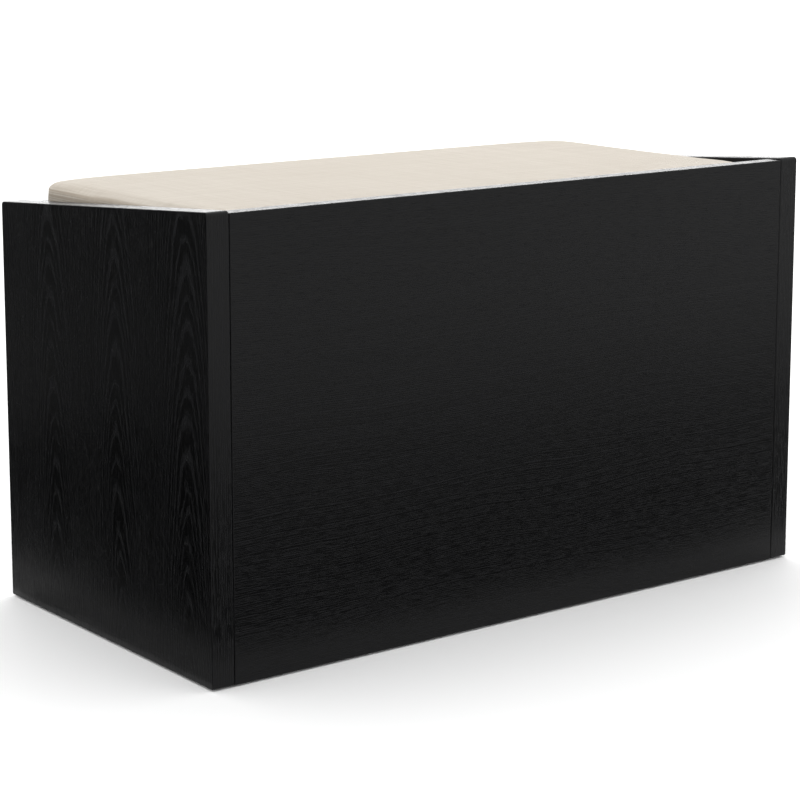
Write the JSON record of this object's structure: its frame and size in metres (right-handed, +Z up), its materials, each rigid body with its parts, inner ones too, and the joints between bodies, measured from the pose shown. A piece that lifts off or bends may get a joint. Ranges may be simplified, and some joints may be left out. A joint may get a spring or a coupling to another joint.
{
  "type": "storage bench",
  "caption": "Box bench with veneered sides that fall towards the front and an upholstered seat that lifts as a hinged lid over a storage space.",
  "frame": {"origin": "on the floor, under the middle of the bench", "axes": "+Z up, -Y towards the front, +X to the right of someone who stands in front"},
  "size_m": [0.76, 0.39, 0.4497],
  "materials": {
    "black_veneer": "black-stained open-grain veneer, satin lacquer",
    "inner_wood": "black-stained softwood strips, matt",
    "bottom_board": "black laminated board, matt",
    "beech_dowel": "raw beech",
    "lid_plywood": "birch plywood",
    "zinc_steel": "bright zinc plate",
    "black_steel": "black powder coat",
    "black_plastic": "moulded, matt",
    "sleeve_plastic": "natural nylon",
    "bumper_rubber": "soft rubber",
    "seat_fabric": "oatmeal fine-woven fabric",
    "seat_foam": "open-cell foam",
    "dust_cloth": "non-woven cloth"
  },
  "bodies": {
    "carcass": {"side_panel_left": "black_veneer", "side_panel_right": "black_veneer", "back_panel": "black_veneer", "front_panel": "black_veneer", "bottom_panel": "bottom_board", "bottom_batten_front": "inner_wood", "bottom_batten_rear": "inner_wood", "bottom_batten_left": "inner_wood", "bottom_batten_right": "inner_wood", "lid_ledge_front": "inner_wood", "lid_ledge_rear": "inner_wood", "lid_ledge_left": "inner_wood", "lid_ledge_right": "inner_wood", "back_dowels": "beech_dowel", "front_dowels": "beech_dowel", "cam_bolts": "zinc_steel", "cam_locks": "zinc_steel", "cam_caps": "black_plastic", "batten_screws": "zinc_steel", "bottom_screws": "zinc_steel", "ledge_screws": "zinc_steel", "floor_glides": "black_plastic", "lid_bumpers": "bumper_rubber", "hinge_leaf_left": "black_steel", "hinge_leaf_right": "black_steel", "hinge_pin_left": "zinc_steel", "hinge_pin_right": "zinc_steel", "hinge_screws_back": "zinc_steel"},
    "lid": {"lid_board": "lid_plywood", "seat_foam": "seat_foam", "seat_cover": "seat_fabric", "dust_cloth": "dust_cloth", "staples": "zinc_steel", "hinge_arm_left": "black_steel", "hinge_arm_right": "black_steel", "hinge_sleeve_left": "sleeve_plastic", "hinge_sleeve_right": "sleeve_plastic", "hinge_screws_lid": "zinc_steel"}
  },
  "joints": [
    {"name": "lid_hinge", "type": "hinge", "parent": "carcass", "child": "lid", "pos_m": [0, 0.171, 0.441], "axis": [-1, 0, 0], "range_deg": [0, 90]}
  ]
}
